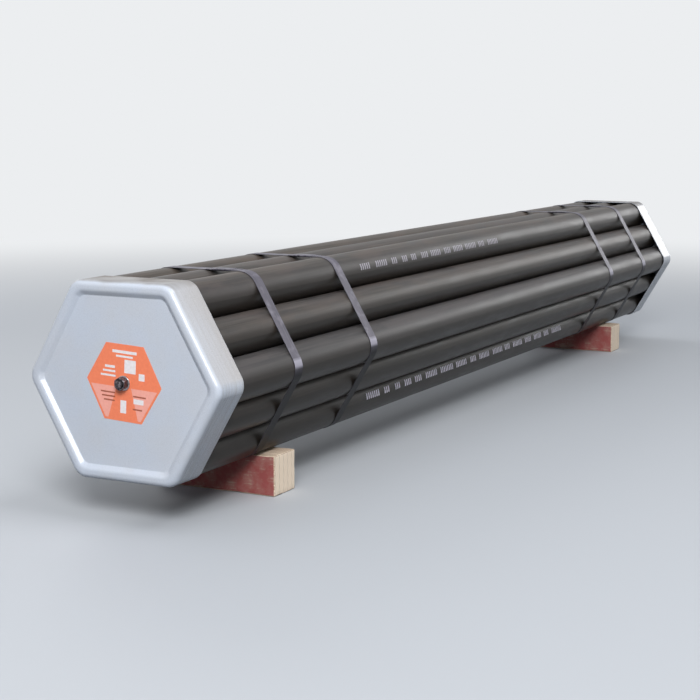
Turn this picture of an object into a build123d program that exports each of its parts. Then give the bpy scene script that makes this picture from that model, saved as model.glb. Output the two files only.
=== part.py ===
"""Hexagonal bundle of threaded drill rods.

Nineteen steel drill rods are packed in a hexagon. A pressed sheet cap closes each end, a tie rod
through the middle rod's bore pulls the two caps together, four steel straps bind the rods, and two
timber bearers carry the bundle.

Millimetres. The rods lie along +Y, +Z is up, and the labelled cap faces -Y. The origin is on the
floor under the bundle's middle.
"""

from build123d import *
import math
import os

# Drill rods: steel tube, box end in front, pin end behind; length is from shoulder to shoulder
ROD_OD = 88.9
ROD_WALL = 5.55
ROD_LENGTH = 3000.0
PIN_SHOULDER = 2.65
PIN_LENGTH = 44.0
BOX_CLEARANCE = 0.4
BOX_EXTRA_DEPTH = 2.0

# Pack: rows of three, four, five, four and three rods
ROW_COUNTS = (3, 4, 5, 4, 3)
ROD_GAP = 0.3

# Pressed sheet caps
CAP_FIT = 0.9
CAP_SHEET = 1.5
CAP_DEPTH = 90.0
CAP_CORNER = 32.0
RIM_WIDTH = 20.0
RIM_BEVEL = 5.5
PANEL_SINK = 8.0
PANEL_SLOPE = 7.0
ROD_END_SEAT = 0.2

# Printed label on the front cap
LABEL_FLATS = 155.0
LABEL_TURN = -3.0
LABEL_THICKNESS = 0.3

# Tie rod, nuts and washers
TIE_OD = 16.0
TIE_HOLE_CLEARANCE = 0.5
TIE_THREAD_OUT = 6.0
NUT_FLATS = 24.0
NUT_HEIGHT = 13.0
NUT_CLEARANCE = 0.15
WASHER_OD = 30.0
WASHER_THICKNESS = 3.0

# Steel straps with folded seals on the top face
STRAP_WIDTH = 32.0
STRAP_THICKNESS = 0.9
STRAP_SEAT = 0.2
STRAP_FROM_RIM = 318.0
STRAP_SPACING = 352.0
STRAP_TAIL = 74.0
SEAL_LENGTH = 44.0
SEAL_SHEET = 1.0
SEAL_CLEARANCE = 0.15

# Timber bearers
BEARER_WIDTH = 89.0
BEARER_HEIGHT = 89.0
BEARER_LENGTH = 300.0
BEARER_EDGE = 2.0
BEARER_FROM_RIM = 340.0
BEARER_SEAT = 0.2

# Sizes that follow from those above
ROD_BORE = ROD_OD - 2 * ROD_WALL
PIN_OD = ROD_OD - 2 * PIN_SHOULDER
ROD_PITCH = ROD_OD + ROD_GAP
ROW_PITCH = ROD_PITCH * math.sqrt(3) / 2
ROWS = len(ROW_COUNTS)
PACK_FLATS = (ROWS - 1) * ROW_PITCH + ROD_OD
CAP_FLATS = PACK_FLATS + 2 * CAP_FIT + 2 * CAP_SHEET
PANEL_BACK = PANEL_SINK + CAP_SHEET
OVERALL_LENGTH = ROD_LENGTH + PIN_LENGTH + 2 * (PANEL_BACK + ROD_END_SEAT)
FRONT_RIM = -OVERALL_LENGTH / 2
REAR_RIM = OVERALL_LENGTH / 2
AXIS_HEIGHT = BEARER_HEIGHT + BEARER_SEAT + PACK_FLATS / 2
ROD_START = FRONT_RIM + PANEL_BACK + ROD_END_SEAT
TIE_HOLE_OD = TIE_OD + 2 * TIE_HOLE_CLEARANCE


def hexagon(flats, corner=0.0, turn=0.0):
    """Hexagon with corners left and right and a flat on top; flats is its width across flats."""
    outline = RegularPolygon(flats / 2, 6, major_radius=False, rotation=turn)
    if corner > 0:
        outline = fillet(outline.vertices(), corner)
    return outline


def facing_front(part, rim_y):
    """Put a part that is built looking up +Z on the bundle's axis, looking along -Y."""
    return Pos(0, rim_y, AXIS_HEIGHT) * Rot(90, 0, 0) * part


def facing_rear(part, rim_y):
    """Put a part that is built looking up +Z on the bundle's axis, looking along +Y."""
    return Pos(0, rim_y, AXIS_HEIGHT) * Rot(-90, 0, 0) * part


def write(part, node):
    part.label = node
    export_step(part, f"parts/{node}.step")


def drill_rod():
    """One tube along +Y from its box end at the origin, with its pin beyond the shoulder."""
    box = PIN_OD / 2 + BOX_CLEARANCE
    box_depth = PIN_LENGTH + BOX_EXTRA_DEPTH
    profile = Polyline(
        (box, 0),
        (ROD_OD / 2, 0),
        (ROD_OD / 2, ROD_LENGTH),
        (PIN_OD / 2, ROD_LENGTH),
        (PIN_OD / 2, ROD_LENGTH + PIN_LENGTH),
        (ROD_BORE / 2, ROD_LENGTH + PIN_LENGTH),
        (ROD_BORE / 2, box_depth),
        (box, box_depth),
        close=True,
    )
    return revolve(make_face(profile), Axis.Y)


def hidden_rod():
    """Plain tube in a drill rod's place, for the rods that the outer ring of rods hides."""
    tube = Circle(ROD_OD / 2) - Circle(ROD_BORE / 2)
    return Rot(-90, 0, 0) * extrude(tube, ROD_LENGTH + PIN_LENGTH)


def rod_places():
    """Row and place numbers of each rod with the centre of its axis, the top row first."""
    for row, count in enumerate(ROW_COUNTS):
        height = AXIS_HEIGHT + ((ROWS - 1) / 2 - row) * ROW_PITCH
        for place in range(count):
            across = (place - (count - 1) / 2) * ROD_PITCH
            yield row + 1, place + 1, across, height


def pressed_form(skin):
    """Solid block of the cap's outside form, or of its inside form with skin as the sheet."""
    top = CAP_DEPTH - skin
    block = extrude(hexagon(CAP_FLATS - 2 * skin, CAP_CORNER - skin), top)
    # Bevel and recess move in by less than the sheet's thickness, which keeps it even on the slopes
    rim_edges = block.faces().sort_by(Axis.Z)[-1].edges()
    block = chamfer(rim_edges, RIM_BEVEL - (2 - math.sqrt(2)) * skin)
    slope_angle = math.atan2(PANEL_SINK, PANEL_SLOPE)
    mouth_inset = RIM_WIDTH - skin * math.tan(slope_angle / 2)
    mouth = hexagon(CAP_FLATS - 2 * mouth_inset, CAP_CORNER - mouth_inset / 2)
    draft = 90 - math.degrees(slope_angle)
    return block - extrude(Pos(0, 0, top) * mouth, -PANEL_SINK, taper=draft)


def end_cap():
    """Pressed hexagonal pan, open below, with a panel sunk behind a bevelled rim at its top."""
    pan = pressed_form(0.0) - pressed_form(CAP_SHEET)
    pan -= Cylinder(TIE_HOLE_OD / 2, 2 * CAP_DEPTH)
    return Pos(0, 0, -CAP_DEPTH) * pan


def cap_label():
    """Thin hexagonal label around the tie rod, lying on the sunk panel."""
    label = extrude(hexagon(LABEL_FLATS, turn=LABEL_TURN), LABEL_THICKNESS)
    return label - Cylinder(TIE_HOLE_OD / 2, 4 * LABEL_THICKNESS)


def washer():
    return extrude(Circle(WASHER_OD / 2) - Circle(TIE_HOLE_OD / 2), WASHER_THICKNESS)


def hex_nut():
    nut = extrude(hexagon(NUT_FLATS), NUT_HEIGHT)
    return nut - Cylinder(TIE_OD / 2 + NUT_CLEARANCE, 4 * NUT_HEIGHT)


def tie_rod(length):
    return extrude(Circle(TIE_OD / 2), length)


def strap():
    """Flat strap round the pack, drawn tight from rod to rod, with its tail lapped on the top."""
    inner_flats = PACK_FLATS + 2 * STRAP_SEAT
    inner_corner = ROD_OD / 2 + STRAP_SEAT
    inner = hexagon(inner_flats, inner_corner)
    outer = hexagon(inner_flats + 2 * STRAP_THICKNESS, inner_corner + STRAP_THICKNESS)
    band = extrude(outer - inner, STRAP_WIDTH / 2, both=True)
    lap_height = inner_flats / 2 + 1.5 * STRAP_THICKNESS
    tail = Pos(ROD_PITCH / 2, lap_height, 0) * Box(STRAP_TAIL, STRAP_THICKNESS, STRAP_WIDTH)
    return band + tail


def strap_seal():
    """Folded sheet sleeve round the two layers of the lapped strap."""
    inside_height = 2 * STRAP_THICKNESS + 2 * SEAL_CLEARANCE
    inside_width = STRAP_WIDTH + 2 * SEAL_CLEARANCE
    sleeve = Rectangle(inside_width + 2 * SEAL_SHEET, inside_height + 2 * SEAL_SHEET)
    sleeve -= Rectangle(inside_width, inside_height)
    return extrude(Plane.YZ * sleeve, SEAL_LENGTH / 2, both=True)


def bearer():
    timber = Box(BEARER_LENGTH, BEARER_WIDTH, BEARER_HEIGHT, align=(Align.CENTER, Align.CENTER, Align.MIN))
    return chamfer(timber.edges().filter_by(Axis.X), BEARER_EDGE)


os.makedirs("parts", exist_ok=True)

# The twelve rods of the outer ring, and the seven inside it
outer_rod = drill_rod()
inner_rod = hidden_rod()
for row, place, across, height in rod_places():
    in_ring = row in (1, ROWS) or place in (1, ROW_COUNTS[row - 1])
    one_rod = outer_rod if in_ring else inner_rod
    write(Pos(across, ROD_START, height) * one_rod, f"drill_rod_{row}_{place}")

# The caps, the label and the tie rod with its nuts and washers
cap = end_cap()
disc = washer()
nut = hex_nut()
front_seat = FRONT_RIM + PANEL_SINK - LABEL_THICKNESS
rear_seat = REAR_RIM - PANEL_SINK
front_washer = facing_front(disc, front_seat)
rear_washer = facing_rear(disc, rear_seat)
front_nut = facing_front(nut, front_seat - WASHER_THICKNESS)
rear_nut = facing_rear(nut, rear_seat + WASHER_THICKNESS)
write(facing_front(cap, FRONT_RIM), "end_cap_front")
write(facing_rear(cap, REAR_RIM), "end_cap_rear")
write(facing_front(cap_label(), FRONT_RIM + PANEL_SINK), "cap_label")
write(Compound([front_washer, rear_washer]), "tie_washers")
write(Compound([front_nut, rear_nut]), "tie_nuts")
tie_start = front_seat - WASHER_THICKNESS - NUT_HEIGHT - TIE_THREAD_OUT
write(facing_rear(tie_rod(-2 * tie_start), tie_start), "tie_rod")

# The straps and their seals, two near each cap
one_strap = Rot(90, 0, 0) * strap()
one_seal = strap_seal()
seal_height = AXIS_HEIGHT + PACK_FLATS / 2 + STRAP_SEAT + STRAP_THICKNESS
strap_stations = (
    FRONT_RIM + STRAP_FROM_RIM,
    FRONT_RIM + STRAP_FROM_RIM + STRAP_SPACING,
    REAR_RIM - STRAP_FROM_RIM - STRAP_SPACING,
    REAR_RIM - STRAP_FROM_RIM,
)
for number, station in enumerate(strap_stations, start=1):
    write(Pos(0, station, AXIS_HEIGHT) * one_strap, f"strap_{number}")
    write(Pos(ROD_PITCH / 2, station, seal_height) * one_seal, f"strap_seal_{number}")

# The bearers
bearer_offset = BEARER_FROM_RIM + BEARER_WIDTH / 2
write(Pos(0, FRONT_RIM + bearer_offset, 0) * bearer(), "bearer_front")
write(Pos(0, REAR_RIM - bearer_offset, 0) * bearer(), "bearer_rear")
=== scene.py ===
"""Looks of a hexagonal bundle of threaded drill rods with pressed end caps.

Metres. The rods lie along +Y, +Z is up, and the labelled cap faces -Y. The caps, the label and the
tie rod's parts are made looking up +Z, and are then turned to their place.
"""

import math
import random
from functools import partial

import bmesh
import bpy
from bpy.props import FloatProperty, FloatVectorProperty, IntProperty, PointerProperty
from bpy.types import Operator, Panel, PropertyGroup
from mathutils import Matrix, Vector, noise


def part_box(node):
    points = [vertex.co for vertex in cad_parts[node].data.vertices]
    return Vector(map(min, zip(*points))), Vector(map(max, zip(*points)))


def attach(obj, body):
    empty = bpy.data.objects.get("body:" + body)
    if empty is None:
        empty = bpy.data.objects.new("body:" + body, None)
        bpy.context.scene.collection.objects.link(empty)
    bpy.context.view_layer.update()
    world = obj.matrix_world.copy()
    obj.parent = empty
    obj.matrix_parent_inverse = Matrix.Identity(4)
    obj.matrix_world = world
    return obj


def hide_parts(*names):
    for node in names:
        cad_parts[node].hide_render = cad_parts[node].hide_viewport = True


bl_info = {
    "name": "Drill rod bundle",
    "version": (1, 0, 0),
    "blender": (4, 5, 0),
    "location": "3D View > Sidebar > Rod bundle",
    "description": "Dresses a strapped bundle of drill rods with its caps, straps and timber",
    "category": "Object",
}

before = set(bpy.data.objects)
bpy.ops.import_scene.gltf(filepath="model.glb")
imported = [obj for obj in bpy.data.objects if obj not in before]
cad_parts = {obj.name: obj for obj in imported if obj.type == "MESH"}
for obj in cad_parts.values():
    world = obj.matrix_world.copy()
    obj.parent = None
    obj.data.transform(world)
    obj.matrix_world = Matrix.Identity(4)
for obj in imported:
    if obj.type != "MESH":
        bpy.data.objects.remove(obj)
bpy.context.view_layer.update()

MM = 0.001

# The frame's own places, which the pieces built here keep to
ROD_NODES = sorted(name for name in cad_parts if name.startswith("drill_rod_"))
INNER_PLACES = ("2_2", "2_3", "3_2", "3_3", "3_4", "4_2", "4_3")
OUTER_RODS = [name for name in ROD_NODES if name[-3:] not in INNER_PLACES]
STRAP_NODES = ("strap_1", "strap_2", "strap_3", "strap_4")
SEAL_NODES = ("strap_seal_1", "strap_seal_2", "strap_seal_3", "strap_seal_4")
BEARER_NODES = ("bearer_front", "bearer_rear")
CAP_LOW, CAP_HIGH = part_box("end_cap_front")
LABEL_LOW, LABEL_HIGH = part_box("cap_label")
TIE_LOW, TIE_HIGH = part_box("tie_rod")
ROD_LOW, ROD_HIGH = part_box(ROD_NODES[0])
CAP_FLATS = CAP_HIGH.z - CAP_LOW.z
CAP_DEPTH = CAP_HIGH.y - CAP_LOW.y
AXIS_HEIGHT = (CAP_HIGH.z + CAP_LOW.z) / 2
# A tube's facets have corners at its left and right, and flats on top and below
ROD_RADIUS = (ROD_HIGH.x - ROD_LOW.x) / 2
# Room all round the tie rod in the holes of the caps, the label and the washers
TIE_PLAY = 0.5 * MM


def linear(colour):
    """Linear red, green and blue of an sRGB hex colour."""
    shares = [int(colour[at:at + 2], 16) / 255 for at in (1, 3, 5)]
    return [s / 12.92 if s <= 0.04045 else ((s + 0.055) / 1.055) ** 2.4 for s in shares]


def length(name, description, millimetres):
    """A size that the user can change."""
    return FloatProperty(
        name=name, description=description, default=millimetres * MM, unit="LENGTH"
    )


def shade(name, description, colour):
    """A colour that the user can change, from its sRGB hex value."""
    return FloatVectorProperty(
        name=name, description=description, default=linear(colour), subtype="COLOR"
    )


class BundleSizes(PropertyGroup):
    """Sizes that the pieces are built from."""

    cap_corner: length("Cap corner", "Radius of the cap's six corners", 32)
    cap_bead: length("Cap bead", "Radius of the rim's outer bend", 12)
    cap_rim: length("Cap rim", "Width of the rim up to the step", 20)
    cap_sink: length("Panel depth", "Depth of the panel behind the rim", 8)
    cap_step: length("Step run", "Width that the step down to the panel takes", 10)
    cap_head_bend: length("Step head", "Radius of the bend from the rim into the step", 11)
    cap_foot_bend: length("Step foot", "Radius of the bend from the step into the panel", 4)
    cap_sheet: length("Cap sheet", "Thickness of the cap's sheet", 1.5)
    tie_diameter: length("Tie rod", "Diameter of the tie rod over its thread", 16)
    tie_pitch: length("Tie thread pitch", "Pitch of the tie rod's thread", 2)
    nut_flats: length("Nut", "Width of the nuts across their flats", 24)
    washer: length("Washer", "Diameter of the washers", 30)
    rod_pitch: length("Rod thread pitch", "Pitch of the pins' and the boxes' thread", 25.4 / 3)
    rod_ridge: length("Rod thread height", "Height of the pins' and the boxes' thread", 0.85)
    label_turn: FloatProperty(
        name="Label turn", description="How far the label is turned on the cap",
        default=math.radians(-3), subtype="ANGLE",
    )
    seed: IntProperty(
        name="Seed", description="Start of the random draws for the marks", default=7, min=0
    )


class BundleColours(PropertyGroup):
    """Colours of the finishes."""

    rod: shade("Rod steel", "Dust on the drawn tubes' upper sides", "#5d564f")
    rod_dark: shade("Rod streaks", "Darker streaks where the dust is wiped off", "#38322b")
    # The underside colour is oiled scale and painted shade together: it is laid where faces look
    # down
    rod_oil_and_shade: shade("Rod underside", "Oiled mill scale where no dust lies", "#28231e")
    cap: shade("Cap paint", "Silver paint on the pressed caps", "#c9d1de")
    label: shade("Label", "Orange ground of the label", "#ff8a63")
    label_light: shade("Label fields", "Salmon fields of the label", "#ffb0a0")
    strap: shade("Straps", "Blued steel of the straps", "#696671")
    timber: shade("Timber", "Sawn softwood of the bearers", "#ffeed8")
    timber_paint: shade("Timber paint", "Red oxide on the bearers' long sides", "#9c4f4c")
    stencil: shade("Stencil paint", "White paint of the marks on two rods", "#f6f1ff")


def fill_sockets(node, sockets):
    """Fill a node's live sockets, given in their order as a list or by name as a dict.

    A node given as a value stands for its first live output, and a hex string for its colour.
    """
    live = [socket for socket in node.inputs if socket.enabled]
    if isinstance(sockets, dict):
        named = {socket.name: socket for socket in reversed(live)}
        pairs = [(named[name], value) for name, value in sockets.items()]
    else:
        pairs = zip(live, sockets)
    for socket, value in pairs:
        if isinstance(value, bpy.types.Node):
            value = next(output for output in value.outputs if output.enabled)
        if isinstance(value, bpy.types.NodeSocket):
            node.id_data.links.new(value, socket)
        elif socket.type == "RGBA":
            socket.default_value = (*(linear(value) if isinstance(value, str) else value), 1.0)
        else:
            socket.default_value = value


def add_node(tree, kind, sockets=(), **settings):
    """Add a shader node with its settings, and fill its sockets with values or links."""
    node = tree.nodes.new("ShaderNode" + kind)
    for name, value in settings.items():
        setattr(node, name, value)
    fill_sockets(node, sockets)
    return node


def start_material(name):
    """A new material, add_node for its tree, its shader and the object's coordinates."""
    material = bpy.data.materials.new(name)
    material.use_nodes = True
    add = partial(add_node, material.node_tree)
    shader = material.node_tree.nodes["Principled BSDF"]
    return material, add, shader, add("TexCoord").outputs["Object"]


def stretched_noise(add, position, size, **sockets):
    """Noise whose grains have a size along X, Y and Z, in metres."""
    mapped = add("Mapping", {"Vector": position, "Scale": [1 / side for side in size]})
    return add("TexNoise", {"Vector": mapped, "Scale": 1.0, **sockets})


def lay_over(add, below, above, pattern, low, high, most=1.0):
    """Lay a colour over another as a pattern rises from low to high, up to its largest share."""
    share = add("MapRange", [pattern, low, high, 0.0, most])
    return add("Mix", [share, below, above], data_type="RGBA")


# In the materials below, MapRange takes a value, its low and high, and what they become, and Mix
# takes a share and two colours.


def oiled_drawn_steel(colours):
    """Cold drawn tube under oil: duller and browner on top where dust lies, and near black below as
    painted shade.
    """
    material, add, shader, position = start_material("oiled_drawn_steel")
    # Die lines 1 mm wide run some 300 mm along the tube, drawn 4 mm wide so that they show
    streaks = stretched_noise(add, position, (4 * MM, 0.3, 4 * MM), Detail=3.0)
    drawn = lay_over(add, colours.rod_dark, colours.rod, streaks, 0.3, 0.75)
    # Scale and oil gather in patches 60 mm wide and 250 mm long
    clouds = stretched_noise(add, position, (0.06, 0.25, 0.06), Detail=4.0, Roughness=0.6)
    scaled = lay_over(add, drawn, "#564a42", clouds, 0.42, 0.62, 0.7)
    # Tubes from different heats differ from one place in the pack to the next, 89 mm away
    heats = stretched_noise(add, position, (0.12, 50.0, 0.12), Detail=0.0)
    tinted = lay_over(add, scaled, "#40444c", heats, 0.35, 0.65, 0.5)
    # Smudges of oil 30 mm wide and 150 mm long, darker and glossier than the dust round them
    smudges = stretched_noise(add, position, (0.03, 0.15, 0.03), Detail=4.0, Roughness=0.65)
    smudge_share = add("MapRange", [smudges, 0.48, 0.68, 0.0, 0.6])
    smudged = add("Mix", [smudge_share, tinted, "#26262a"], data_type="RGBA")
    # Dust lies on what looks up, thicker in the patches; what looks down keeps the near black
    # underside colour, which is painted shade as well as oiled scale
    upward = add("SeparateXYZ", [add("NewGeometry").outputs["Normal"]])
    up_in_patches = add("Math", [clouds, 0.7, upward.outputs["Z"]], operation="MULTIPLY_ADD")
    dust_and_shade = lay_over(add, colours.rod_oil_and_shade, smudged, up_in_patches, 0.3, 1.25)
    gloss = add("MapRange", [up_in_patches, 0.3, 1.2, 0.38, 0.46])
    polished = add("Math", [smudge_share, -0.12, gloss], operation="MULTIPLY_ADD")
    bump = add("Bump", {"Height": streaks, "Strength": 0.2, "Distance": 0.4 * MM})
    fill_sockets(shader, {"Base Color": dust_and_shade, "Roughness": polished, "Normal": bump})
    fill_sockets(shader, {"Specular IOR Level": 0.2})
    return material


def machined_thread_steel():
    """Turned and greased thread flanks: brighter and smoother than the tube."""
    material, add, shader, position = start_material("machined_thread_steel")
    # Tool marks every half millimetre along the thread
    tool_marks = stretched_noise(add, position, (0.04, 0.5 * MM, 0.04), Detail=2.0)
    tint = add("Mix", [tool_marks, "#6f6b66", "#96928b"], data_type="RGBA")
    fill_sockets(shader, {"Base Color": tint, "Metallic": 1.0, "Roughness": 0.34})
    return material


def stencilled_enamel(colours):
    """Sprayed white stencil marks: the steel grins through, and dust and painted shade dim the
    upper ones.
    """
    material, add, shader, position = start_material("stencilled_enamel")
    # Overspray breaks up in specks of 3 mm
    specks = add("TexNoise", {"Vector": position, "Scale": 1 / (3 * MM), "Detail": 4.0})
    tint = lay_over(add, "#8f8c96", colours.stencil, specks, 0.3, 0.5)
    # Dust and painted shade dim the marks from the middle of the pack up to its top row
    height = add("SeparateXYZ", [position])
    dust_and_shade = lay_over(add, tint, "#5f5b60", height.outputs["Z"], 0.25, 0.42, 0.7)
    fill_sockets(shader, {"Base Color": dust_and_shade, "Roughness": 0.55})
    return material


def silver_painted_sheet(colours):
    """Pressed sheet sprayed silver: pale blue grey and satin, dusted and wiped on its walls, with
    painted shade where they look up.
    """
    material, add, shader, position = start_material("silver_painted_sheet")
    # Spray passes leave clouds of 70 mm
    clouds = add("TexNoise", {"Vector": position, "Scale": 1 / 0.07, "Detail": 3.0})
    sprayed = lay_over(add, colours.cap, "#cccdd0", clouds, 0.35, 0.65, 0.35)
    # The walls are the faces that don't look along the rods
    facing = add("SeparateXYZ", [add("NewGeometry").outputs["Normal"]])
    square = add("Math", [facing.outputs["Y"], facing.outputs["Y"]], operation="MULTIPLY")
    wall = add("MapRange", [square, 0.0, 0.5, 1.0, 0.0])
    # Wiped marks run round the walls, 5 mm wide and 150 mm long
    wipes = stretched_noise(add, position, (0.15, 5 * MM, 0.15), Detail=3.0)
    marked = add("Math", [wall, wipes], operation="MULTIPLY")
    rubbed = lay_over(add, sprayed, "#a8a9ab", marked, 0.4, 0.65, 0.4)
    # Dust and painted shade on the walls that look up, darkest at the open edge, 90 mm behind the
    # rim
    along = add("SeparateXYZ", [position])
    off_middle = add("Math", [along.outputs["Y"]], operation="ABSOLUTE")
    shade_to_open_edge = add("MapRange", [off_middle, 1.442, 1.532, 0.75, 0.35])
    upward = add("MapRange", [facing.outputs["Z"], 0.1, 0.5])
    on_wall = add("Math", [wall, upward], operation="MULTIPLY")
    film_and_shade_share = add("Math", [on_wall, shade_to_open_edge], operation="MULTIPLY")
    filmed_and_shaded = add("Mix", [film_and_shade_share, rubbed, "#a8a29d"], data_type="RGBA")
    # Darker dust and painted shade lie in patches on what lies level, which also dulls the gloss
    up_in_patches = add("Math", [clouds, 0.6, facing.outputs["Z"]], operation="MULTIPLY_ADD")
    level_share = add("MapRange", [up_in_patches, 0.95, 1.45, 0.0, 0.85])
    dust_and_shade = add("Mix", [level_share, filmed_and_shaded, "#5b534a"], data_type="RGBA")
    # Flakes and fine spatter of the sprayed coat, 0.8 mm, drawn at 1.2 mm so that they show
    flakes = add("TexNoise", {"Vector": position, "Scale": 1 / (1.2 * MM), "Detail": 1.0})
    gloss = add("MapRange", [flakes, 0.3, 0.7, 0.24, 0.34])
    dull = add("Math", [level_share, 0.5, gloss], operation="MULTIPLY_ADD")
    # Pressed panels are never quite flat: swells over 120 mm
    swell = add("TexNoise", {"Vector": position, "Scale": 1 / 0.12, "Detail": 1.0})
    swollen = add("Bump", {"Height": swell, "Strength": 0.5, "Distance": 0.6 * MM})
    fine = {"Height": flakes, "Strength": 0.1, "Distance": 0.08 * MM, "Normal": swollen}
    fill_sockets(shader, {"Base Color": dust_and_shade, "Roughness": dull, "Normal": add("Bump", fine)})
    fill_sockets(shader, {"Metallic": 0.05, "Specular IOR Level": 0.4})
    return material


def printed_film(name, ink):
    """Printed vinyl film: flat strong colour with a soft gloss and slight ink mottle."""
    material, add, shader, position = start_material(name)
    # Ink mottle of 6 mm
    mottle = add("TexNoise", {"Vector": position, "Scale": 1 / (6 * MM), "Detail": 3.0})
    low = [0.95 * c for c in ink[:3]]
    high = [min(1.0, 1.05 * c) for c in ink[:3]]
    tint = lay_over(add, low, high, mottle, 0.35, 0.65)
    # The film lies a little uneven on its glue, in ripples of 14 mm
    ripple = add("TexNoise", {"Vector": position, "Scale": 1 / (14 * MM), "Detail": 1.0})
    bump = add("Bump", {"Height": ripple, "Strength": 0.2, "Distance": 0.3 * MM})
    fill_sockets(shader, {"Base Color": tint, "Roughness": 0.36, "Normal": bump})
    return material


def zinc_plated_steel():
    """Zinc plated washer: light grey metal with a fine spangle."""
    material, add, shader, position = start_material("zinc_plated_steel")
    # Spangle of 3 mm
    spangle = add("TexVoronoi", {"Vector": position, "Scale": 1 / (3 * MM)})
    tint = add("Mix", [spangle.outputs["Distance"], "#bfc2c6", "#9a9da2"], data_type="RGBA")
    fill_sockets(shader, {"Base Color": tint, "Metallic": 1.0, "Roughness": 0.36})
    return material


def blackened_steel():
    """Blackened and oiled nut and tie rod: dark grey, with bare metal grinning at high spots."""
    material, add, shader, position = start_material("blackened_steel")
    # Spots of 4 mm where the blacking is rubbed off
    wear = add("TexNoise", {"Vector": position, "Scale": 1 / (4 * MM), "Detail": 4.0})
    tint = lay_over(add, "#474348", "#8f8b90", wear, 0.5, 0.72)
    fill_sockets(shader, {"Base Color": tint, "Metallic": 0.7, "Roughness": 0.38})
    return material


def blued_strapping(colours):
    """Blued cold rolled strapping: slate grey, rolled in lines, paler under dust, near black below
    as painted shade, with a painted highlight at the bends.
    """
    material, add, shader, position = start_material("blued_strapping")
    # Rolling lines 1.5 mm wide run round the pack, so they are long across X and Z
    lines = stretched_noise(add, position, (0.15, 1.5 * MM, 0.15), Detail=2.0)
    slate = [0.62 * c for c in colours.strap]
    lined = lay_over(add, slate, colours.strap, lines, 0.35, 0.7)
    # Rubbed spots of 25 mm
    spots = add("TexNoise", {"Vector": position, "Scale": 1 / 0.025, "Detail": 4.0})
    rubbed = lay_over(add, lined, "#8d8994", spots, 0.5, 0.7, 0.55)
    # Dust lies on what looks up, and what looks down is painted near black as shade
    upward = add("SeparateXYZ", [add("NewGeometry").outputs["Normal"]])
    dust_and_shade = lay_over(add, "#19181b", rubbed, upward.outputs["Z"], -0.3, 0.3)
    # A painted highlight: the upper half of the bends that face sideways is painted bright
    sideways = add("Math", [upward.outputs["X"]], operation="ABSOLUTE")
    bend = add("MapRange", [sideways, 0.88, 0.93, 0.0, 0.8])
    upper = add("MapRange", [upward.outputs["Z"], 0.0, 0.15])
    glint_share = add("Math", [bend, upper], operation="MULTIPLY")
    bright = add("Mix", [glint_share, dust_and_shade, "#b3b0be"], data_type="RGBA")
    bump = add("Bump", {"Height": lines, "Strength": 0.15, "Distance": 0.2 * MM})
    fill_sockets(shader, {"Base Color": bright, "Metallic": 0.1, "Roughness": 0.42})
    fill_sockets(shader, {"Specular IOR Level": 0.12, "Normal": bump})
    return material


def sawn_softwood_side(colours):
    """Sawn softwood faces: pale, with long grain and fine saw marks across it."""
    material, add, shader, position = start_material("sawn_softwood_side")
    # Grain 3 mm wide and 150 mm long, along the timber
    long_grain = (0.15, 3 * MM, 3 * MM)
    grain = stretched_noise(add, position, long_grain, Detail=4.0, Distortion=0.6)
    # Saw marks every 4 mm across the grain
    saw = stretched_noise(add, position, (4 * MM, 0.05, 0.05), Detail=1.0)
    pale = [0.93 * c for c in colours.timber]
    tint = lay_over(add, "#a98d74", pale, grain, 0.35, 0.68)
    rough = add("Math", [grain, saw], operation="ADD")
    bump = add("Bump", {"Height": rough, "Strength": 0.5, "Distance": 0.6 * MM})
    fill_sockets(shader, {"Base Color": tint, "Roughness": 0.82, "Normal": bump})
    return material


def laminated_end_grain(colours):
    """Sawn end of glued boards: cream, with upright glue lines and each board's own rings."""
    material, add, shader, position = start_material("laminated_end_grain")
    parts = add("SeparateXYZ", [position])
    # Boards 18 mm thick stand on edge across Y
    board_at = add("Math", [parts.outputs["Y"], 18 * MM], operation="DIVIDE")
    board = add("Math", [board_at], operation="FLOOR")
    within = add("Math", [board_at], operation="FRACT")
    middle = add("Math", [within, 0.5], operation="SUBTRACT")
    from_middle = add("Math", [middle], operation="ABSOLUTE")
    # Each board's rings are centred somewhere else, 3 mm apart
    shift = add("CombineXYZ", [0.0, board, board])
    moved = add("VectorMath", [shift, (0.0, 0.11, 0.037), position], operation="MULTIPLY_ADD")
    waves = {"Vector": moved, "Scale": 1 / (3 * MM) / 6.3, "Distortion": 4.0}
    waves.update({"Detail": 2.0, "Detail Scale": 0.4})
    ring_wave = add("TexWave", waves, wave_type="RINGS", rings_direction="X")
    # Each board has a tone of its own
    board_tone = add("TexWhiteNoise", {"W": board}, noise_dimensions="1D")
    toned = lay_over(add, colours.timber, "#f6e4d0", board_tone, 0.0, 1.0, 0.5)
    ringed = lay_over(add, toned, "#b9946c", ring_wave.outputs["Fac"], 0.2, 1.0, 0.22)
    glued = lay_over(add, ringed, "#a5927b", from_middle, 0.44, 0.49, 0.6)
    fibres = add("TexNoise", {"Vector": position, "Scale": 1 / (1.5 * MM), "Detail": 3.0})
    bump = add("Bump", {"Height": fibres, "Strength": 0.4, "Distance": 0.5 * MM})
    fill_sockets(shader, {"Base Color": glued, "Roughness": 0.85, "Normal": bump})
    return material


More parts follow.
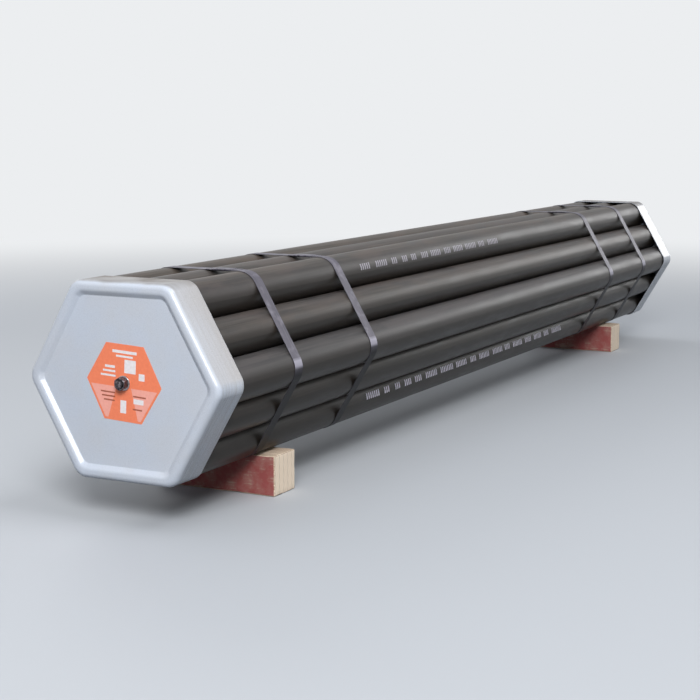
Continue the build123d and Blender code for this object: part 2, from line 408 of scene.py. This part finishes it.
def red_oxide_on_timber(colours):
    """Red oxide paint brushed thinly on sawn timber: matt, blotched, rubbed off along the grain."""
    material, add, shader, position = start_material("red_oxide_on_timber")
    # Grain 4 mm wide and 80 mm long
    grain = stretched_noise(add, position, (0.08, 4 * MM, 4 * MM), Detail=4.0)
    # Blotches of 35 mm where the coat is thin
    thin = {"Vector": position, "Scale": 1 / 0.035, "Detail": 5.0, "Roughness": 0.65}
    blotch = add("TexNoise", thin)
    coat = lay_over(add, colours.timber_paint, "#a5716a", blotch, 0.42, 0.66)
    rubbed = add("Math", [grain, blotch], operation="MULTIPLY")
    worn = lay_over(add, coat, "#b29a89", rubbed, 0.31, 0.38, 0.7)
    bump = add("Bump", {"Height": grain, "Strength": 0.5, "Distance": 0.6 * MM})
    fill_sockets(shader, {"Base Color": worn, "Roughness": 0.7, "Normal": bump})
    return material


def points_in(geom):
    """The points among what a bmesh operator gives back."""
    return [part for part in geom if isinstance(part, bmesh.types.BMVert)]


def edges_at(verts):
    """Every edge that ends at one of the points."""
    return list({edge for vert in verts for edge in vert.link_edges})


def soften(bm, geom, affect, offset, segments):
    """Round edges or corners; returns the faces of the bends."""
    made = bmesh.ops.bevel(
        bm, geom=geom, affect=affect, offset=offset, offset_type="OFFSET",
        segments=segments, profile=0.5, material=-1,
    )
    return made["faces"]


def open_outline(bm, before):
    """Take away the face inside a new outline, and return the outline's points."""
    verts = [v for v in bm.verts if v not in before]
    faces = {f for v in verts for f in v.link_faces}
    bmesh.ops.delete(bm, geom=list(faces), context="FACES_KEEP_BOUNDARY")
    return [v for v in verts if v.is_valid]


def hexagon(bm, flats, height):
    """A flat hexagon with corners left and right; returns its points."""
    at = Matrix.Translation((0, 0, height)) @ Matrix.Rotation(math.radians(30), 4, "Z")
    radius = flats / math.sqrt(3)
    made = bmesh.ops.create_circle(bm, cap_ends=True, segments=6, radius=radius, matrix=at)
    return made["verts"]


def hexagon_ring(bm, flats, corner, height, bends):
    """A wire hexagon with rounded corners; returns its edges."""
    before = set(bm.verts)
    offset = corner * math.tan(math.radians(30))
    soften(bm, hexagon(bm, flats, height), "VERTICES", offset, bends)
    edges = set(edges_at(open_outline(bm, before)))
    sides = sorted(edges, key=lambda e: e.calc_length())[-6:]
    divided = bmesh.ops.subdivide_edges(bm, edges=sides, cuts=bends)["geom_inner"]
    edges.update(edges_at(points_in(divided)))
    return list(edges)


def loft(bm, rings):
    """Bridge each ring of edges to the next."""
    for lower, upper in zip(rings, rings[1:]):
        bmesh.ops.bridge_loops(bm, edges=lower + upper)


def close_to_hole(bm, ring, radius):
    """Carry a flat ring of edges in to a round hole about its middle."""
    for vert in points_in(bmesh.ops.extrude_edge_only(bm, edges=ring)["geom"]):
        vert.co.xy = vert.co.xy.normalized() * radius


def turn_outwards(bm):
    """Point every face outwards, which on the highest face is up."""
    bmesh.ops.recalc_face_normals(bm, faces=bm.faces)
    highest = max(bm.faces, key=lambda f: f.calc_center_median().z)
    if highest.normal.z < 0:
        bmesh.ops.reverse_faces(bm, faces=bm.faces)


def bend_points(centre, radius, start, end, steps):
    """Points of a bend from one angle to another, as (inset, height)."""
    for step in range(steps + 1):
        angle = math.radians(start + (end - start) * step / steps)
        yield centre[0] + radius * math.cos(angle), centre[1] + radius * math.sin(angle)


def spin_round(bm, profile, steps, closed=False):
    """Turn a profile of (radius, height) points once round Z."""
    verts = [bm.verts.new((radius, 0, height)) for radius, height in profile]
    following = verts[1:] + verts[:1] if closed else verts[1:]
    edges = [bm.edges.new(pair) for pair in zip(verts, following)]
    bmesh.ops.spin(
        bm, geom=verts + edges, cent=(0, 0, 0), axis=(0, 0, 1),
        angle=2 * math.pi, steps=steps, use_merge=True,
    )
    bmesh.ops.remove_doubles(bm, verts=bm.verts, dist=0.001 * MM)
    bmesh.ops.recalc_face_normals(bm, faces=bm.faces)


def ridge(bm, foot, crest, width, pitch, turns, start, facets):
    """A closed helical ridge round Z, from its foot's radius to its crest's."""
    foot_half = 0.5 * width
    crest_half = 0.22 * width
    outline = ((foot, -foot_half), (crest, -crest_half), (crest, crest_half), (foot, foot_half))
    verts = [bm.verts.new((radius, 0, start + offset)) for radius, offset in outline]
    edges = [bm.edges.new(pair) for pair in zip(verts, verts[1:] + verts[:1])]
    bmesh.ops.spin(
        bm, geom=verts + edges, cent=(0, 0, 0), axis=(0, 0, 1), dvec=(0, 0, pitch / facets),
        angle=2 * math.pi * turns, steps=round(turns * facets), use_merge=False,
    )
    open_edges = [e for e in bm.edges if len(e.link_faces) == 1]
    bmesh.ops.holes_fill(bm, edges=open_edges, sides=4)
    bmesh.ops.recalc_face_normals(bm, faces=bm.faces)


def facing(front, rim_y):
    """Turn from a piece's own frame to the bundle's axis, looking along -Y or +Y."""
    turn = Matrix.Rotation(math.radians(90 if front else -90), 4, "X")
    return Matrix.Translation((0, rim_y, AXIS_HEIGHT)) @ turn


def add_part(whole, bm, place):
    """Turn a part to its place and add it to a piece of several parts."""
    bmesh.ops.recalc_face_normals(bm, faces=bm.faces)
    bmesh.ops.transform(bm, matrix=place, verts=bm.verts)
    part = bpy.data.meshes.new("part")
    bm.to_mesh(part)
    bm.free()
    whole.from_mesh(part)
    bpy.data.meshes.remove(part)


def finished_object(bm, name, materials, smooth=True):
    """Turn a bmesh into a piece of the bundle, riding on its one body."""
    mesh = bpy.data.meshes.new(name)
    for face in bm.faces:
        face.smooth = smooth
    bm.to_mesh(mesh)
    bm.free()
    for material in materials:
        mesh.materials.append(material)
    piece = bpy.data.objects.new(name, mesh)
    bpy.context.scene.collection.objects.link(piece)
    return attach(piece, "root")


def weigh_normals(piece):
    """Keep flat faces flat beside their bends."""
    weighted = piece.modifiers.new("flat_faces", "WEIGHTED_NORMAL")
    weighted.keep_sharp = True
    weighted.weight = 80


def thicken(piece, thickness):
    """Give an outside skin the thickness of its sheet, inwards."""
    sheet = piece.modifiers.new("sheet", "SOLIDIFY")
    sheet.thickness = thickness
    sheet.offset = -1.0
    weigh_normals(piece)


def rod_middle(node):
    """A rod's axis where it crosses y = 0."""
    low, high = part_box(node)
    return Vector(((low.x + high.x) / 2, 0, (low.z + high.z) / 2))


class BUNDLE_OT_rods(Operator):
    """Give the nineteen drawn tubes their oiled mill finish"""

    bl_idname = "bundle.rods"
    bl_label = "Drill rods"

    def execute(self, context):
        steel = oiled_drawn_steel(context.scene.bundle_colours)
        for name in ROD_NODES:
            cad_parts[name].data.materials[0] = steel
        return {"FINISHED"}


class BUNDLE_OT_rod_threads(Operator):
    """Cut the threads on the rods' pins and in their boxes"""

    bl_idname = "bundle.rod_threads"
    bl_label = "Rod threads"

    turns = 4.2
    facets = 40
    # Each thread is bedded a little into its pin or box
    bedding = 0.1 * MM

    def execute(self, context):
        sizes = context.scene.bundle_sizes
        steel = machined_thread_steel()
        middles = [rod_middle(node) for node in OUTER_RODS]
        width = 0.55 * sizes.rod_pitch
        # Name, radius, whether it stands outwards, and start: the pins end the tubes behind, and
        # the boxes open in front
        runs = (
            ("pin_threads", 41.8 * MM, 1, ROD_HIGH.y - 39 * MM),
            ("box_threads", 42.2 * MM, -1, ROD_LOW.y + 5 * MM),
        )
        for name, radius, side, start in runs:
            bm = bmesh.new()
            foot = radius - side * self.bedding
            crest = radius + side * sizes.rod_ridge
            ridge(bm, foot, crest, width, sizes.rod_pitch, self.turns, 0.0, self.facets)
            turn = Matrix.Rotation(math.radians(-90), 4, "X")
            bmesh.ops.transform(bm, matrix=turn, verts=bm.verts)
            first = bm.verts[:] + bm.edges[:] + bm.faces[:]
            for middle in middles[1:]:
                copy = bmesh.ops.duplicate(bm, geom=first)["geom"]
                bmesh.ops.translate(bm, vec=middle - middles[0], verts=points_in(copy))
            place = middles[0] + Vector((0, start, 0))
            bmesh.ops.translate(bm, vec=place, verts=bm.verts)
            piece = finished_object(bm, name, [steel], smooth=False)
        return {"FINISHED"}


class BUNDLE_OT_rod_marks(Operator):
    """Spray broken rows of plain white bars along two outer rods"""

    bl_idname = "bundle.rod_marks"
    bl_label = "Rod marks"

    # Rod, start and end of its row along Y, and how far its row is turned up from +X
    rows = (
        ("drill_rod_1_3", -0.75, 0.13, math.radians(17)),
        ("drill_rod_5_3", -0.72, 0.62, math.radians(10)),
    )
    # Bars wide enough to stay bars from the camera's distance
    bar_width = 6 * MM
    bar_spacing = 10.5 * MM
    bar_turn = math.radians(20)
    coat = 0.06 * MM

    def execute(self, context):
        draws = random.Random(context.scene.bundle_sizes.seed)
        bm = bmesh.new()
        for node, start, end, lean in self.rows:
            middle = rod_middle(node)
            y = start
            while y < end:
                for _ in range(draws.randint(3, 8)):
                    self.bar(bm, middle, y, lean)
                    y += self.bar_spacing
                y += draws.uniform(16, 30) * MM
        paint = stencilled_enamel(context.scene.bundle_colours)
        finished_object(bm, "rod_marks", [paint])
        return {"FINISHED"}

    def bar(self, bm, middle, y, lean):
        """A plain upright bar bent round its tube."""
        radius = ROD_RADIUS + self.coat
        start = lean - self.bar_turn / 2
        x = middle.x + radius * math.cos(start)
        z = middle.z + radius * math.sin(start)
        verts = [bm.verts.new((x, along, z)) for along in (y, y + self.bar_width)]
        bmesh.ops.spin(
            bm, geom=verts + [bm.edges.new(verts)], cent=(middle.x, 0, middle.z), axis=(0, -1, 0),
            angle=self.bar_turn, steps=8, use_merge=False,
        )


class BUNDLE_OT_end_caps(Operator):
    """Press the two hexagonal end caps"""

    bl_idname = "bundle.end_caps"
    bl_label = "End caps"

    def execute(self, context):
        sizes = context.scene.bundle_sizes
        paint = silver_painted_sheet(context.scene.bundle_colours)
        caps = (("front_cap", True, "end_cap_front"), ("rear_cap", False, "end_cap_rear"))
        for name, front, node in caps:
            low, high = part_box(node)
            bm = bmesh.new()
            self.press(bm, sizes)
            place = facing(front, low.y if front else high.y)
            bmesh.ops.transform(bm, matrix=place, verts=bm.verts)
            piece = finished_object(bm, name, [paint])
            thicken(piece, sizes.cap_sheet)
            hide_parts(node)
        return {"FINISHED"}

    def press(self, bm, sizes):
        """The cap's outside skin, looking up +Z with its rim at height 0."""
        bead, head_bend, foot_bend = sizes.cap_bead, sizes.cap_head_bend, sizes.cap_foot_bend
        # The step leans by its run and its depth; both of its bends touch it and their flats
        slope = math.atan2(sizes.cap_sink, sizes.cap_step)
        half_lean = math.tan(slope / 2)
        head_centre = (sizes.cap_rim - head_bend * half_lean, -head_bend)
        foot = sizes.cap_rim + sizes.cap_step
        foot_centre = (foot + foot_bend * half_lean, -sizes.cap_sink + foot_bend)
        lean = math.degrees(slope)
        profile = [(0.0, -CAP_DEPTH), (0.0, -CAP_DEPTH + 2 * MM), (0.0, -bead - 4 * MM)]
        profile += bend_points((bead, -bead), bead, 180, 90, 9)
        profile += bend_points(head_centre, head_bend, 90, 90 - lean, 5)
        profile += bend_points(foot_centre, foot_bend, 270 - lean, 270, 4)
        rings = []
        for inset, height in profile:
            # The corners tighten inwards
            corner = max(sizes.cap_corner - 0.5 * inset, 6 * MM)
            rings.append(hexagon_ring(bm, CAP_FLATS - 2 * inset, corner, height, 8))
        loft(bm, rings)
        close_to_hole(bm, rings[-1], sizes.tie_diameter / 2 + TIE_PLAY)
        bmesh.ops.remove_doubles(bm, verts=bm.verts, dist=0.01 * MM)
        turn_outwards(bm)


class BUNDLE_OT_cap_label(Operator):
    """Stick the printed film on the front cap"""

    bl_idname = "bundle.cap_label"
    bl_label = "Cap label"

    flats = 155 * MM
    corner = 2 * MM
    # Inks, as the label's materials are numbered
    salmon, white, brown = 1, 2, 3
    # Middle, width and height in millimetres, and ink
    panels = (
        (14, 34, 27, 27, white),
        (-34, 30, 24, 5, white),
        (-36, 21, 30, 4, white),
        (-38, 12, 36, 4, white),
        (42, 16, 14, 14, white),
        (0, 62, 58, 6, white),
        (0, 53, 40, 4, white),
        (-38, -22, 34, 3, brown),
        (-36, -30, 32, 3, brown),
        (-34, -38, 26, 3, brown),
        (38, -24, 30, 3, brown),
        (36, -34, 24, 10, white),
        (34, -50, 22, 3, brown),
        (0, -48, 14, 26, white),
    )

    def execute(self, context):
        sizes = context.scene.bundle_sizes
        colours = context.scene.bundle_colours
        materials = [
            printed_film("orange_printed_film", colours.label),
            printed_film("salmon_printed_film", colours.label_light),
            printed_film("white_printed_film", linear("#f4eef0")),
            printed_film("brown_printed_film", linear("#a8583f")),
        ]
        thick = LABEL_HIGH.y - LABEL_LOW.y
        bm = bmesh.new()
        rings = [
            hexagon_ring(bm, self.flats - inset, self.corner, height, 3)
            for inset, height in ((0.0, 0.0), (0.0, 0.7 * thick), (0.6 * thick, thick))
        ]
        loft(bm, rings)
        close_to_hole(bm, rings[-1], sizes.tie_diameter / 2 + TIE_PLAY)
        turn_outwards(bm)
        self.print_fields(bm, thick + 0.03 * MM)
        self.print_bars(bm, thick + 0.05 * MM)
        turn = Matrix.Rotation(sizes.label_turn, 4, "Z")
        bmesh.ops.transform(bm, matrix=facing(True, LABEL_HIGH.y) @ turn, verts=bm.verts)
        piece = finished_object(bm, "label_film", materials, smooth=False)
        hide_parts("cap_label")
        return {"FINISHED"}

    def print_fields(self, bm, height):
        """Salmon fields in the lower half: a hexagon cut to a left and a right part."""
        for side in (-1, 1):
            before = set(bm.faces)
            hexagon(bm, self.flats - 9 * MM, height)
            cuts = {(0, -9 * MM, 0): (0, 1, 0), (side * 15 * MM, 0, 0): (-side, -0.28, 0)}
            for point, outward in cuts.items():
                faces = [f for f in bm.faces if f not in before]
                parts = {part for f in faces for part in (*f.edges, *f.verts)}
                geom = faces + list(parts)
                bmesh.ops.bisect_plane(
                    bm, geom=geom, plane_co=point, plane_no=outward, clear_outer=True
                )
            self.ink_faces(bm, before, self.salmon)

    def print_bars(self, bm, height):
        """Plain panels and bars, in place of any wording."""
        for x, y, wide, tall, ink in self.panels:
            before = set(bm.faces)
            place = Matrix.Translation((x * MM, y * MM, height))
            size = Matrix.Diagonal((wide * MM, tall * MM, 1, 1))
            bmesh.ops.create_grid(bm, x_segments=1, y_segments=1, size=0.5, matrix=place @ size)
            self.ink_faces(bm, before, ink)

    def ink_faces(self, bm, before, ink):
        """Give newly printed faces their ink, and turn them up."""
        for face in bm.faces:
            if face not in before:
                face.material_index = ink
                if face.normal.z < 0:
                    face.normal_flip()


class BUNDLE_OT_tie_rod(Operator):
    """Make the tie rod with its threaded ends, nuts and washers"""

    bl_idname = "bundle.tie_rod"
    bl_label = "Tie rod, nuts and washers"

    threaded = 60 * MM
    nut_height = 13 * MM
    washer_thick = 3 * MM
    chamfer = 1.2 * MM
    # The round land on a nut's end, as a share of its half width
    land = 0.94

    def execute(self, context):
        sizes = context.scene.bundle_sizes
        black = blackened_steel()
        self.bar(sizes, black)
        low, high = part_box("tie_nuts")
        front = low.y + self.nut_height
        rear = high.y - self.nut_height
        self.nuts(sizes, black, ((True, front), (False, rear)))
        seats = ((True, front + self.washer_thick), (False, rear - self.washer_thick))
        self.washers(sizes, zinc_plated_steel(), seats)
        return {"FINISHED"}

    def bar(self, sizes, steel):
        """A bar with a chamfered and threaded run at each end."""
        pitch = sizes.tie_pitch
        radius = sizes.tie_diameter / 2
        core = radius - 0.6 * pitch
        half = (TIE_HIGH.y - TIE_LOW.y) / 2
        plain = half - self.threaded
        end = [(radius, plain - 2 * MM), (core, plain), (core, half - 1.0 * MM)]
        end += [(core - 0.8 * MM, half), (0.0, half)]
        bm = bmesh.new()
        spin_round(bm, [(x, -z) for x, z in reversed(end)] + end, 32)
        turns = (self.threaded - 6 * MM) / pitch
        for start in (-half + 1.5 * MM, plain + 4 * MM):
            ridge(bm, core - 0.05 * MM, radius, 0.9 * pitch, pitch, turns, start, 24)
        bmesh.ops.transform(bm, matrix=facing(True, 0.0), verts=bm.verts)
        piece = finished_object(bm, "tie_bar", [steel], smooth=False)
        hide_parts("tie_rod")

    def nuts(self, sizes, steel, places):
        """Hexagon nuts with both ends turned to a cone, so that their corners are cut round."""
        half = sizes.nut_flats / 2
        bore = sizes.tie_diameter / 2 + 0.15 * MM
        mouth = bore + self.chamfer
        height = self.nut_height
        # A radius of None is the hexagon
        outline = [(bore, self.chamfer), (mouth, 0.0), (half * self.land, 0.0), (None, 0.0)]
        outline += [(radius, height - level) for radius, level in reversed(outline)]
        whole = bmesh.new()
        for front, seat in places:
            bm = bmesh.new()
            rings = []
            for radius, level in outline:
                at = Matrix.Translation((0, 0, level))
                made = bmesh.ops.create_circle(bm, segments=48, radius=radius or half, matrix=at)
                if radius is None:
                    self.to_hexagon(made["verts"], half, level)
                rings.append(edges_at(made["verts"]))
            loft(bm, rings + rings[:1])
            add_part(whole, bm, facing(front, seat))
        piece = finished_object(whole, "nuts", [steel], smooth=False)
        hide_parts("tie_nuts")

    def to_hexagon(self, verts, half, level):
        """Move a circle's points out to the hexagon, and back along the cone of its end."""
        for vert in verts:
            angle = math.atan2(vert.co.y, vert.co.x)
            off_flat = (angle + math.radians(30)) % math.radians(60) - math.radians(30)
            out = half / math.cos(off_flat)
            drop = (out - half * self.land) * math.tan(math.radians(30))
            vert.co = (out * math.cos(angle), out * math.sin(angle), abs(level - drop))

    def washers(self, sizes, steel, places):
        """Punched washers with bevelled edges."""
        hole = sizes.tie_diameter / 2 + TIE_PLAY
        edge = sizes.washer / 2
        thick = self.washer_thick
        profile = [(hole, 0.2 * MM), (hole + 0.2 * MM, 0), (edge - 0.6 * MM, 0), (edge, 0.6 * MM)]
        profile += [(edge, thick - 0.8 * MM), (edge - 0.8 * MM, thick)]
        profile += [(hole + 0.6 * MM, thick), (hole, thick - 0.6 * MM)]
        whole = bmesh.new()
        for front, seat in places:
            bm = bmesh.new()
            spin_round(bm, profile, 56, closed=True)
            add_part(whole, bm, facing(front, seat))
        piece = finished_object(whole, "washers", [steel])
        weigh_normals(piece)
        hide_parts("tie_washers")


class BUNDLE_OT_straps(Operator):
    """Finish the four steel straps and crimp their seals"""

    bl_idname = "bundle.straps"
    bl_label = "Straps and seals"

    stations = 33
    # Two nicks, each a fifth of the sleeve long
    nick_places = (0.3, 0.7)
    nick_length = 0.2
    nick_depth = 4.4 * MM
    swelling = 0.5 * MM
    sheet = 0.9 * MM

    def execute(self, context):
        steel = blued_strapping(context.scene.bundle_colours)
        for name in STRAP_NODES:
            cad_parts[name].data.materials[0] = steel
        for number, node in enumerate(SEAL_NODES, start=1):
            self.seal(f"seal_{number}", node, steel)
        return {"FINISHED"}

    def seal(self, name, node, steel):
        """A sleeve round the lap, nicked twice at each edge by the crimping tool."""
        low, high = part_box(node)
        size = high - low
        middle = (low + high) / 2
        turn = Matrix.Rotation(math.radians(90), 4, "Y")
        bm = bmesh.new()
        rings = []
        for number in range(self.stations):
            along = number / (self.stations - 1)
            # A nick pinches the edges and swells the crown, and the sleeve's ends are lower
            nick = self.nick(along)
            wide = size.y - self.nick_depth * nick
            inside = min(1.0, 6 * along, 6 * (1 - along))
            tall = (size.z + self.swelling * nick) * (0.94 + 0.06 * inside)
            before = set(bm.verts)
            made = bmesh.ops.create_grid(bm, x_segments=1, y_segments=1, size=0.5)
            bmesh.ops.scale(bm, vec=(tall, wide, 1), verts=made["verts"])
            soften(bm, made["verts"], "VERTICES", 1.2 * MM, 4)
            outline = open_outline(bm, before)
            x = middle.x + (along - 0.5) * size.x
            place = Matrix.Translation((x, middle.y, middle.z)) @ turn
            bmesh.ops.transform(bm, matrix=place, verts=outline)
            rings.append(edges_at(outline))
        loft(bm, rings)
        turn_outwards(bm)
        piece = finished_object(bm, name, [steel])
        thicken(piece, self.sheet)
        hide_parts(node)

    def nick(self, along):
        """How far the sleeve is nicked at a share of its length, from 0 to 1."""
        gap = min(abs(along - at) for at in self.nick_places)
        return math.cos(math.pi * gap / self.nick_length) if gap < self.nick_length / 2 else 0


class BUNDLE_OT_bearers(Operator):
    """Saw the two timber bearers and paint their long sides"""

    bl_idname = "bundle.bearers"
    bl_label = "Timber bearers"

    # The faces' materials, as the bearers' materials are numbered
    sawn, end_grain, painted = 0, 1, 2
    arris = 2 * MM

    def execute(self, context):
        colours = context.scene.bundle_colours
        makers = (sawn_softwood_side, laminated_end_grain, red_oxide_on_timber)
        materials = [make(colours) for make in makers]
        for name, node in zip(("front_timber", "rear_timber"), BEARER_NODES):
            low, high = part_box(node)
            place = Matrix.Translation((low + high) / 2) @ Matrix.Diagonal((*(high - low), 1))
            bm = bmesh.new()
            bmesh.ops.create_cube(bm, size=1.0, matrix=place)
            for face in bm.faces:
                if abs(face.normal.x) > 0.5:
                    face.material_index = self.end_grain
                elif abs(face.normal.y) > 0.5:
                    face.material_index = self.painted
            # The paint is rubbed off the arrises
            for face in soften(bm, bm.edges[:], "EDGES", self.arris, 2):
                face.material_index = self.sawn
            for shortest, cuts in ((0.2, 31), (0.05, 9)):
                edges = [e for e in bm.edges if e.calc_length() > shortest]
                bmesh.ops.subdivide_edges(bm, edges=edges, cuts=cuts, use_grid_fill=True)
            self.wear(bm, low, high)
            bmesh.ops.recalc_face_normals(bm, faces=bm.faces)
            piece = finished_object(bm, name, materials)
            weigh_normals(piece)
            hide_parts(node)
        return {"FINISHED"}

    def wear(self, bm, low, high):
        """Push the arrises in by up to a few millimetres, as knocks and handling leave them."""
        middle = (low + high) / 2
        for vert in bm.verts:
            gaps = sorted(min(c - l, h - c) for c, l, h in zip(vert.co, low, high))
            near_edge = max(0.0, 1.0 - gaps[1] / (5 * MM))
            if near_edge > 0:
                bite = max(0.0, noise.noise(vert.co * 45) + 0.15) * 3.2 * MM * near_edge
                inward = middle - vert.co
                inward.x *= 0.3
                vert.co += inward.normalized() * bite


class BUNDLE_OT_stage(Operator):
    """Set up the pale floor, the lamps and the camera"""

    bl_idname = "bundle.stage"
    bl_label = "Floor, lamps and camera"

    # Name, place, the point it is aimed at, diameter in metres and power in watts
    lamps = (
        ("key_softbox", (2.6, -5.4, 3.6), (0.0, -0.5, 0.3), 2.6, 122),
        ("top_softbox", (2.5, -0.9, 5.0), (0.0, -0.2, 0.3), 2.6, 32),
        ("far_softbox", (2.4, 9.0, 2.6), (0.0, 0.0, 0.3), 3.0, 38),
        ("left_softbox", (-4.2, 2.4, 3.0), (0.0, 0.3, 0.3), 2.6, 24),
    )
    backdrop = "#eceef0"
    camera_place = (1.820, -4.075, 0.829)
    camera_azimuth = math.radians(27.3)
    camera_elevation = math.radians(8.7)
    camera_half_view = math.radians(12.4)

    def execute(self, context):
        scene = context.scene
        scene.view_settings.view_transform = "Standard"
        self.floor(scene)
        self.world(scene)
        for lamp in self.lamps:
            self.lamp(scene, *lamp)
        self.camera(scene)
        return {"FINISHED"}

    def floor(self, scene):
        """A wide round floor that fades into the backdrop's colour with distance."""
        bm = bmesh.new()
        bmesh.ops.create_circle(bm, cap_ends=True, segments=96, radius=80.0)
        bmesh.ops.inset_region(bm, faces=bm.faces[:], thickness=60.0)
        mesh = bpy.data.meshes.new("floor")
        bm.to_mesh(mesh)
        bm.free()
        floor = bpy.data.objects.new("floor", mesh)
        scene.collection.objects.link(floor)
        material, add, shader, position = start_material("sealed_pale_floor")
        distance = add("VectorMath", [position], operation="LENGTH").outputs["Value"]
        fade = add("MapRange", [distance, 1.9, 6.0], interpolation_type="SMOOTHSTEP")
        seen = self.seen_directly(add)
        # The floor throws back only as much light as a grey workshop floor does
        tone = add("Mix", [seen, "#505459", "#b8bcc1"], data_type="RGBA")
        fill_sockets(shader, {"Base Color": tone, "Roughness": 0.6, "Specular IOR Level": 0.2})
        share = add("Math", [fade, seen], operation="MULTIPLY")
        glow = add("Emission", {"Color": self.backdrop, "Strength": 1.0})
        mixed = add("MixShader", [share, shader, glow])
        fill_sockets(material.node_tree.nodes["Material Output"], {"Surface": mixed})
        mesh.materials.append(material)

    def seen_directly(self, add):
        """1 where the eye, a reflection or a clear body looks, and 0 for light on its way."""
        rays = add("LightPath").outputs
        seen = add("Math", [rays["Is Camera Ray"], rays["Is Glossy Ray"]], operation="MAXIMUM")
        return add("Math", [seen, rays["Is Transmission Ray"]], operation="MAXIMUM")

    def world(self, scene):
        """Even pale daylight, seen at full strength and lighting the bundle more softly."""
        world = bpy.data.worlds.new("pale_backdrop")
        scene.world = world
        world.use_nodes = True
        world.node_tree.nodes.clear()
        add = partial(add_node, world.node_tree)
        # Daylight comes mostly from above
        height = add("SeparateXYZ", [add("TexCoord").outputs["Generated"]]).outputs["Z"]
        dome = add("MapRange", [height, 0.0, 0.9, 0.06, 0.55])
        ambient = add("Background", {"Color": "#eef2fa", "Strength": dome})
        shown = add("Background", {"Color": self.backdrop, "Strength": 1.0})
        mixed = add("MixShader", [self.seen_directly(add), ambient, shown])
        add("OutputWorld", {"Surface": mixed})

    def lamp(self, scene, name, place, target, size, power):
        """A round softbox with a grid, which keeps its light off the floor below it."""
        light = bpy.data.lights.new(name, "AREA")
        light.spread = math.radians(110)
        light.shape = "DISK"
        light.size = size
        light.energy = power
        lamp = bpy.data.objects.new(name, light)
        scene.collection.objects.link(lamp)
        self.aim(lamp, place, Vector(target) - Vector(place))

    def camera(self, scene):
        """Eye height beside the labelled cap, turned to take in the whole length."""
        data = bpy.data.cameras.new("camera")
        data.sensor_width = 36.0
        data.lens = data.sensor_width / 2 / math.tan(self.camera_half_view)
        camera = bpy.data.objects.new("camera", data)
        scene.collection.objects.link(camera)
        scene.camera = camera
        level = math.cos(self.camera_elevation)
        ahead = (
            -math.sin(self.camera_azimuth) * level,
            math.cos(self.camera_azimuth) * level,
            -math.sin(self.camera_elevation),
        )
        self.aim(camera, self.camera_place, Vector(ahead))

    def aim(self, thing, place, ahead):
        """Put a lamp or the camera in its place, looking ahead."""
        thing.location = place
        thing.rotation_mode = "QUATERNION"
        thing.rotation_quaternion = ahead.to_track_quat("-Z", "Y")


PIECE_OPERATORS = (
    BUNDLE_OT_rods,
    BUNDLE_OT_rod_threads,
    BUNDLE_OT_rod_marks,
    BUNDLE_OT_end_caps,
    BUNDLE_OT_cap_label,
    BUNDLE_OT_tie_rod,
    BUNDLE_OT_straps,
    BUNDLE_OT_bearers,
    BUNDLE_OT_stage,
)


class BUNDLE_PT_pieces(Panel):
    """The bundle's pieces"""

    bl_idname = "BUNDLE_PT_pieces"
    bl_label = "Drill rod bundle"
    bl_space_type = "VIEW_3D"
    bl_region_type = "UI"
    bl_category = "Rod bundle"

    def draw(self, context):
        for operator in PIECE_OPERATORS:
            self.layout.operator(operator.bl_idname)
        for group in (context.scene.bundle_sizes, context.scene.bundle_colours):
            box = self.layout.box()
            for name in group.__annotations__:
                box.prop(group, name)


CLASSES = (BundleSizes, BundleColours, *PIECE_OPERATORS, BUNDLE_PT_pieces)


def register():
    for cls in CLASSES:
        bpy.utils.register_class(cls)
    bpy.types.Scene.bundle_sizes = PointerProperty(type=BundleSizes)
    bpy.types.Scene.bundle_colours = PointerProperty(type=BundleColours)


def unregister():
    del bpy.types.Scene.bundle_colours
    del bpy.types.Scene.bundle_sizes
    for cls in reversed(CLASSES):
        bpy.utils.unregister_class(cls)


def main():
    """Build every piece and the stage."""
    register()
    bpy.ops.bundle.rods()
    bpy.ops.bundle.rod_threads()
    bpy.ops.bundle.rod_marks()
    bpy.ops.bundle.end_caps()
    bpy.ops.bundle.cap_label()
    bpy.ops.bundle.tie_rod()
    bpy.ops.bundle.straps()
    bpy.ops.bundle.bearers()
    bpy.ops.bundle.stage()


if __name__ == "__main__":
    main()
